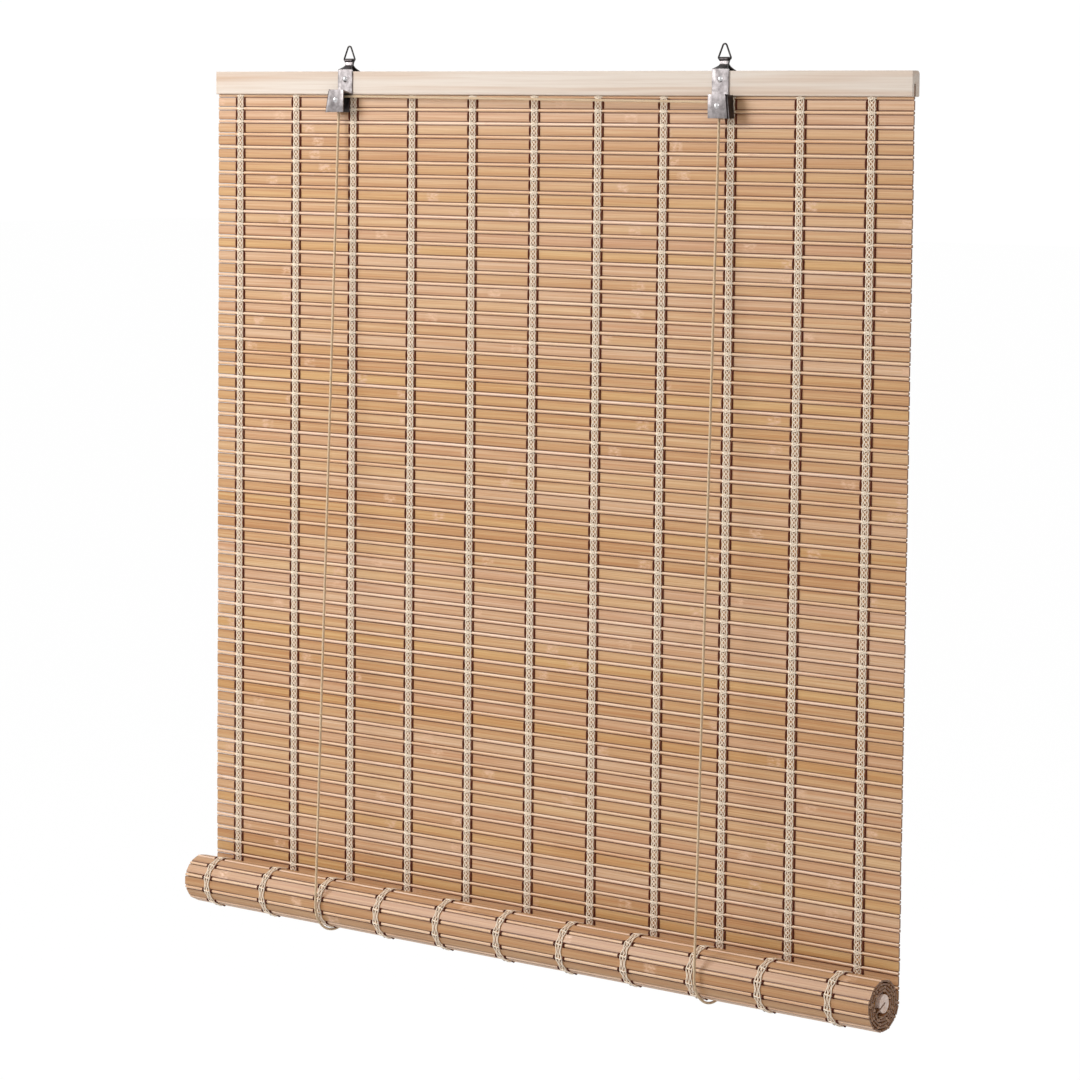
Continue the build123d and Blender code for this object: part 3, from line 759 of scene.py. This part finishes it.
def cord_piece(name, path, radius, body, nodes, squeezed=None):
    """A laid cord along a path in millimetres, with its twist in the UV map."""
    path = np.asarray(path, float)
    way = directions(path)
    side = np.cross(way[0], (0.31, 0.17, 0.93) if abs(way[0][2]) < 0.8 else (0.93, 0.17, 0.31))
    sides_at = []
    for direction in way:
        side = side - direction * np.dot(side, direction)
        side /= np.linalg.norm(side)
        sides_at.append(side)
    sides_at = np.array(sides_at)
    points = tube_points(path, radius, sides_at, np.cross(way, sides_at), CORD_SIDES)
    faces = ring_faces(len(path), CORD_SIDES)
    length = np.concatenate([[0], np.cumsum(np.linalg.norm(np.diff(path, axis=0), axis=1))])
    rows, columns = np.meshgrid(np.arange(len(path) - 1), np.arange(CORD_SIDES), indexing="ij")
    corners_u = np.stack([columns, columns + 1, columns + 1, columns], -1) / CORD_SIDES * 2
    corners_v = length[np.stack([rows, rows, rows + 1, rows + 1], -1)] / (HALF_LAY * radius)
    uv = np.stack([corners_u, corners_v], -1).reshape(-1, 2)
    caps = (len(faces) - rows.size) * 4
    uv = np.concatenate([uv, np.zeros((caps, 2))])
    shape = Shape()
    shape.put(points.reshape(-1, 3), faces, uv=uv)
    shape.build(name, cord_paint, body, nodes, "lift_cord", squeezed=squeezed, sharp=50)


def line(start, end):
    """Points of a straight strand."""
    start, end = np.asarray(start), np.asarray(end)
    return [start + (end - start) * step / CORD_STATIONS for step in range(CORD_STATIONS + 1)]


def rounded(points, radius):
    """A polyline with its corners rounded."""
    points = [np.asarray(p, float) for p in points]
    route = [points[0]]
    for before, corner, after in zip(points, points[1:], points[2:]):
        back = (before - corner) / np.linalg.norm(before - corner)
        ahead = (after - corner) / np.linalg.norm(after - corner)
        half = math.acos(np.clip(np.dot(back, ahead), -1, 1)) / 2
        cut = radius / math.tan(half)
        centre = corner + (back + ahead) / np.linalg.norm(back + ahead) * radius / math.sin(half)
        start, end = corner + back * cut - centre, corner + ahead * cut - centre
        sweep = math.acos(np.clip(np.dot(start, end) / radius**2, -1, 1))
        for step in range(CORNER_STEPS + 1):
            share = step / CORNER_STEPS
            arc = math.sin((1 - share) * sweep) * start + math.sin(share * sweep) * end
            route.append(centre + arc / math.sin(sweep))
    route.append(points[-1])
    return route


def knot_path(centre, size, turned=0.0):
    """A small overhand knot drawn tight."""
    angle = np.linspace(0, 2 * math.pi, 49)
    x = np.sin(angle) + 2 * np.sin(2 * angle)
    y = np.cos(angle) - 2 * np.cos(2 * angle)
    z = -1.6 * np.sin(3 * angle)
    across = math.cos(turned) * x - math.sin(turned) * z
    deep = math.sin(turned) * x + math.cos(turned) * z
    return np.stack([centre[0] + size * across, centre[1] + size * deep, centre[2] + size * y], -1)


# Bend of the cords over the pulleys, and the ties' bend and knots
BEND = 2.9
TIE_BEND = 2.2
TIE_INSET = 2.3
TIE_KNOT_SIZE = 0.5
TIE_KNOT_RADIUS = 0.8
STOP_KNOT_SIZE = 0.62
STOP_KNOT_TURN = 0.5
LOOP_RADIUS = ROLL_RADIUS + STICK_THICKNESS / 2 + FIT_GAP + BAND_THICKNESS + RUNNING_GAP + CORD_RADIUS
BACK_Y = ROLL_Y + LOOP_RADIUS
PULLEYS = ("pulley_left", "pulley_right_rear", "pulley_right_front")
axle_points = {side: middle_mm(f"axle_{side}")[::2] for side in ("left", "right")}
pulley_ys = {name: middle_mm(name)[1] for name in PULLEYS}
REAR_Y, FRONT_Y = pulley_ys["pulley_right_rear"], pulley_ys["pulley_right_front"]
lead = math.atan2(LOOP_RADIUS - (REAR_Y - ROLL_Y), axle_points["left"][1] - ROLL_Z)
for side in ("left", "right"):
    loop_x = middle_mm(f"cord_loop_{side}")[0]
    loop = [(loop_x, ROLL_Y + LOOP_RADIUS * math.cos(angle), ROLL_Z + LOOP_RADIUS * math.sin(angle))
            for angle in np.linspace(0, -math.pi - lead, 41)]
    cord_piece(f"loop_cord_{side}", loop, CORD_RADIUS, "lift_loops", [f"cord_loop_{side}"])
    tie_low, tie_high = box_mm(f"cord_tie_{side}")
    tie_x = (tie_low[0] + tie_high[0]) / 2
    hole_z = tie_high[2] - TIE_INSET
    knot_y = tie_high[1] - TIE_INSET
    tie = rounded([(tie_x, BACK_Y, tie_low[2]), (tie_x, BACK_Y, hole_z), (tie_x, knot_y, hole_z)], TIE_BEND)
    cord_piece(f"tie_cord_{side}", tie, CORD_RADIUS, "frame", [f"cord_tie_{side}"])
    knot = knot_path((tie_x, knot_y, hole_z), TIE_KNOT_SIZE)
    cord_piece(f"tie_knot_{side}", knot, TIE_KNOT_RADIUS, "frame", [])
    rear = line((tie_x, BACK_Y, tie_low[2]), loop[0])
    cord_piece(f"rear_cord_{side}", rear, CORD_RADIUS, "frame", [f"cord_back_{side}"],
               squeeze(tie_low[2], loop[0][2]))
    axle_x, axle_z = axle_points[side]
    front = line((axle_x - BEND, REAR_Y, axle_z), loop[-1])
    cord_piece(f"front_cord_{side}", front, CORD_RADIUS, "frame", [f"cord_front_{side}"],
               squeeze(axle_z, loop[-1][2]))

left_x, left_z = axle_points["left"]
right_x, right_z = axle_points["right"]
knot_middle = middle_mm("stop_knot")
cross = rounded([
    (left_x - BEND, REAR_Y, left_z),
    (left_x - BEND, REAR_Y, left_z + BEND),
    (right_x + BEND, FRONT_Y, right_z + BEND),
    (right_x + BEND, FRONT_Y, knot_middle[2]),
], BEND - FIT_GAP)
cord_piece("cross_cord_laid", cross, CORD_RADIUS, "frame", ["cross_cord"])
over = [(right_x - BEND * math.cos(angle), REAR_Y, right_z + BEND * math.sin(angle))
        for angle in np.linspace(0, math.pi, 15)]
over.append((right_x + BEND, REAR_Y, knot_middle[2]))
cord_piece("end_cord_right", over, CORD_RADIUS, "frame", ["cord_end_right"])
stop = knot_path(knot_middle, STOP_KNOT_SIZE, STOP_KNOT_TURN)
cord_piece("stop_knot_laid", stop, CORD_RADIUS, "frame", ["stop_knot"])


def soften(piece, width, angle):
    """Rounds the edges that are sharper than an angle in degrees."""
    bevel = piece.modifiers.new("soft_edges", "BEVEL")
    bevel.width = width * MM
    bevel.segments = 2
    bevel.limit_method = "ANGLE"
    bevel.angle_limit = math.radians(angle)
    return bevel


# Brackets: folded sheet, one surface thickened to the strip's gauge
SHEET = 1.0
STRIP_HALF = 7.8
BARREL_HALF = 4.3
WAIST_HALF = 3.6
WAIST_Y = 0.8
BARREL_RADIUS = 1.28
WIRE_RADIUS = 0.7
HOUSING_HEIGHT = 17.6
FLANGE_DEPTH = 7.0
REAR_LEG_DROP = 8.3
REAR_BEND_DROP = 1.6
BARREL_STEPS = 20
BARREL_DROP = 1.1
TOP_RISE = 1.3
WAIST_RISE = 3.7
SHELF_RISE = 0.6
SHEET_GAP = 2.25
BRACKET_ANGLE = 50
# Each housing's inner edge, outer edge at its top and at its foot, and both edges of the sheet behind it
HOUSINGS = {"left": (-5.6, 10.6, 13.9, -3.0, 8.0), "right": (-5.2, 12.0, 13.8, -5.0, 4.5)}


def bracket_piece(side):
    """Plate on the headrail, shelf and housing in front of it, two legs that close to the ring's barrel."""
    way = {"left": -1, "right": 1}[side]
    inner, outer_top, outer_foot, sheet_inner, sheet_outer = HOUSINGS[side]
    low = box_mm(f"bracket_{side}")[0]
    ring_x = middle_mm(f"ring_{side}")[0]
    barrel_z = box_mm(f"ring_{side}")[0][2] + WIRE_RADIUS
    plate_y, rear_y = rail_low[1] - SHEET / 2, rail_high[1] + SHEET / 2
    front_y, sheet_y = low[1] + SHEET / 2, MAT_Y - SHEET_GAP
    top_z, foot_z = rail_high[2] + TOP_RISE, low[2]
    waist_z = top_z + WAIST_RISE
    shelf_z, housing_z = rail_low[2] + SHELF_RISE, foot_z + HOUSING_HEIGHT
    points, faces, shades, index = [], [], [], {}

    def point(across, y, z):
        key = (round(across, 3), round(y, 3), round(z, 3))
        if key not in index:
            index[key] = len(points)
            points.append((ring_x + way * across, y, z))
        return index[key]

    def panel(edge_a, edge_b, dark):
        """Faces between two edges, each a list of (across, y, z) of one length. Dark faces take the painted
        shade.
        """
        for k in range(len(edge_a) - 1):
            corners = edge_a[k], edge_a[k + 1], edge_b[k + 1], edge_b[k]
            faces.append(tuple(point(*corner) for corner in corners))
            shades.append(dark)

    def edge(low_x, high_x, y, z):
        return [(x, y, z) for x in np.linspace(low_x, high_x, 5)]

    def level(half, y, z):
        return edge(-half, half, y, z)

    def leg(front, last_y, last_z, rows_below):
        """One leg from the barrel through the narrow waist to the strip's full width, and on down."""
        waist_y = WAIST_Y * front
        rows = [level(BARREL_HALF, BARREL_RADIUS * 0.5 * front, barrel_z - BARREL_DROP)]
        rows.append(level(WAIST_HALF, waist_y, waist_z))
        for share in (0.25, 0.5, 0.75, 1.0):
            half = WAIST_HALF + (STRIP_HALF - WAIST_HALF) * share**1.3
            y = waist_y + (last_y - waist_y) * share
            rows.append(level(half, y, waist_z + (last_z - waist_z) * share**0.75))
        rows += [level(STRIP_HALF, last_y, z) for z in rows_below]
        # Painted shade on the whole rear leg, and on the front leg from the waist to its full width
        for number, (upper, lower) in enumerate(zip(rows, rows[1:])):
            panel(upper, lower, front > 0 or 1 <= number <= 4)

    leg(-1, plate_y, top_z, [(top_z + shelf_z) / 2, shelf_z])
    leg(1, rear_y, top_z - REAR_BEND_DROP, [rail_low[2] - REAR_LEG_DROP])
    housing_top = edge(inner, outer_top, front_y, housing_z)
    panel(level(STRIP_HALF, plate_y, shelf_z), housing_top, False)
    panel(housing_top, edge(inner, outer_foot, front_y, foot_z), False)
    outer = ((outer_top, housing_z), (outer_foot, foot_z))
    corner = [(x, front_y, z) for x, z in outer]
    flange = [(x, front_y + FLANGE_DEPTH, z) for x, z in outer]
    sheet_near = [(sheet_outer, sheet_y, z) for z in (housing_z, foot_z)]
    sheet_far = [(sheet_inner, sheet_y, z) for z in (housing_z, foot_z)]
    # Painted shade on the flange and on the sheet behind the pulleys
    for edge_a, edge_b in ((corner, flange), (flange, sheet_near), (sheet_near, sheet_far)):
        panel(edge_a, edge_b, True)
    # Painted shade on the barrel round the ring
    around = []
    for angle in np.linspace(0, 2 * math.pi, BARREL_STEPS + 1):
        z = barrel_z + BARREL_RADIUS * math.sin(angle)
        around.append(level(BARREL_HALF, BARREL_RADIUS * math.cos(angle), z))
    for edge_a, edge_b in zip(around, around[1:]):
        panel(edge_a, edge_b, True)

    mesh = bpy.data.meshes.new(f"folded_bracket_{side}")
    mesh.from_pydata([tuple(c * MM for c in p) for p in points], [], faces)
    mesh.materials.append(bracket_paint)
    mesh.materials.append(bracket_shade_paint)
    mesh.polygons.foreach_set("material_index", np.array(shades, dtype=np.int32))
    mesh.shade_smooth()
    mesh.set_sharp_from_angle(angle=math.radians(BRACKET_ANGLE))
    piece = bpy.data.objects.new(mesh.name, mesh)
    bpy.context.collection.objects.link(piece)
    thick = piece.modifiers.new("gauge", "SOLIDIFY")
    thick.thickness = SHEET * MM
    thick.offset = 0
    thick.use_even_offset = True
    soften(piece, 0.22, BRACKET_ANGLE)
    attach(piece, "frame")
    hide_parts(f"bracket_{side}")


for side in ("left", "right"):
    bracket_piece(side)


# Materials and softened edges of the CAD pieces that stay
def dress(node, material, edge=0.0):
    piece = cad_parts[node]
    piece.data.materials.clear()
    piece.data.materials.append(material)
    if edge:
        soften(piece, edge, 40).harden_normals = True


dress("headrail", rail_paint, 0.3)
dress("bottom_rail", rod_paint, 0.25)
for side in ("left", "right"):
    dress(f"ring_{side}", ring_paint)
    dress(f"rivet_{side}", rivet_paint)
    dress(f"axle_{side}", rivet_paint)
for name in PULLEYS:
    dress(name, pulley_paint, 0.1)


# Floor, light and a white surround
def white_for_camera(tree, lit, white, share, surface):
    """Shows the white shader by that share where the camera, a reflection or a see-through ray looks."""
    path = tree.nodes.new("ShaderNodeLightPath")
    factor = path.outputs["Is Camera Ray"]
    for name in ("Is Glossy Ray", "Is Transmission Ray"):
        largest = tree.nodes.new("ShaderNodeMath")
        largest.operation = "MAXIMUM"
        tree.links.new(factor, largest.inputs[0])
        tree.links.new(path.outputs[name], largest.inputs[1])
        factor = largest.outputs[0]
    scaled = tree.nodes.new("ShaderNodeMath")
    scaled.operation = "MULTIPLY"
    scaled.inputs[1].default_value = share
    tree.links.new(factor, scaled.inputs[0])
    mixer = tree.nodes.new("ShaderNodeMixShader")
    tree.links.new(scaled.outputs[0], mixer.inputs["Fac"])
    tree.links.new(lit.outputs[0], mixer.inputs[1])
    tree.links.new(white.outputs[0], mixer.inputs[2])
    tree.links.new(mixer.outputs[0], surface)


FLOOR_Z = -1.25
FLOOR_REACH = 30
floor_signs = ((-1, -1), (1, -1), (1, 1), (-1, 1))
floor_corners = [(x * FLOOR_REACH, y * FLOOR_REACH, FLOOR_Z) for x, y in floor_signs]
floor_mesh = bpy.data.meshes.new("floor")
floor_mesh.from_pydata(floor_corners, [], [(0, 1, 2, 3)])
floor = bpy.data.objects.new("floor", floor_mesh)
bpy.context.collection.objects.link(floor)
floor_paint = Paint("floor", (0.9, 0.9, 0.9, 1), 0.9, specular=0.0)
floor_tree = floor_paint.material.node_tree
glow = floor_tree.nodes.new("ShaderNodeEmission")
glow.inputs["Color"].default_value = WHITE
glow.inputs["Strength"].default_value = 1.015
floor_surface = floor_tree.nodes["Material Output"].inputs["Surface"]
white_for_camera(floor_tree, floor_paint.shader, glow, 0.97, floor_surface)
floor_mesh.materials.append(floor_paint.material)

world = bpy.data.worlds.new("surround")
bpy.context.scene.world = world
world.use_nodes = True
world_tree = world.node_tree
background = world_tree.nodes["Background"]
background.inputs["Color"].default_value = WHITE
background.inputs["Strength"].default_value = 0.36
white = world_tree.nodes.new("ShaderNodeBackground")
white.inputs["Color"].default_value = WHITE
white.inputs["Strength"].default_value = 1.01
white_for_camera(world_tree, background, white, 1.0, world_tree.nodes["World Output"].inputs["Surface"])


def area_light(name, place, target, size, power):
    data = bpy.data.lights.new(name, "AREA")
    data.size = size
    data.energy = power
    lamp = bpy.data.objects.new(name, data)
    bpy.context.collection.objects.link(lamp)
    lamp.location = place
    lamp.rotation_mode = "QUATERNION"
    lamp.rotation_quaternion = (Vector(target) - Vector(place)).to_track_quat("-Z", "Y")


area_light("key", (-1.5, -1.6, 0.75), (-0.25, 0, -0.15), 1.2, 50)
area_light("fill", (2.6, -1.8, 1.4), (0, 0, -0.2), 2.0, 18)
area_light("back", (0.6, 2.6, 1.2), (0, 0, -0.35), 2.0, 34)

bpy.context.scene.view_settings.view_transform = "Standard"
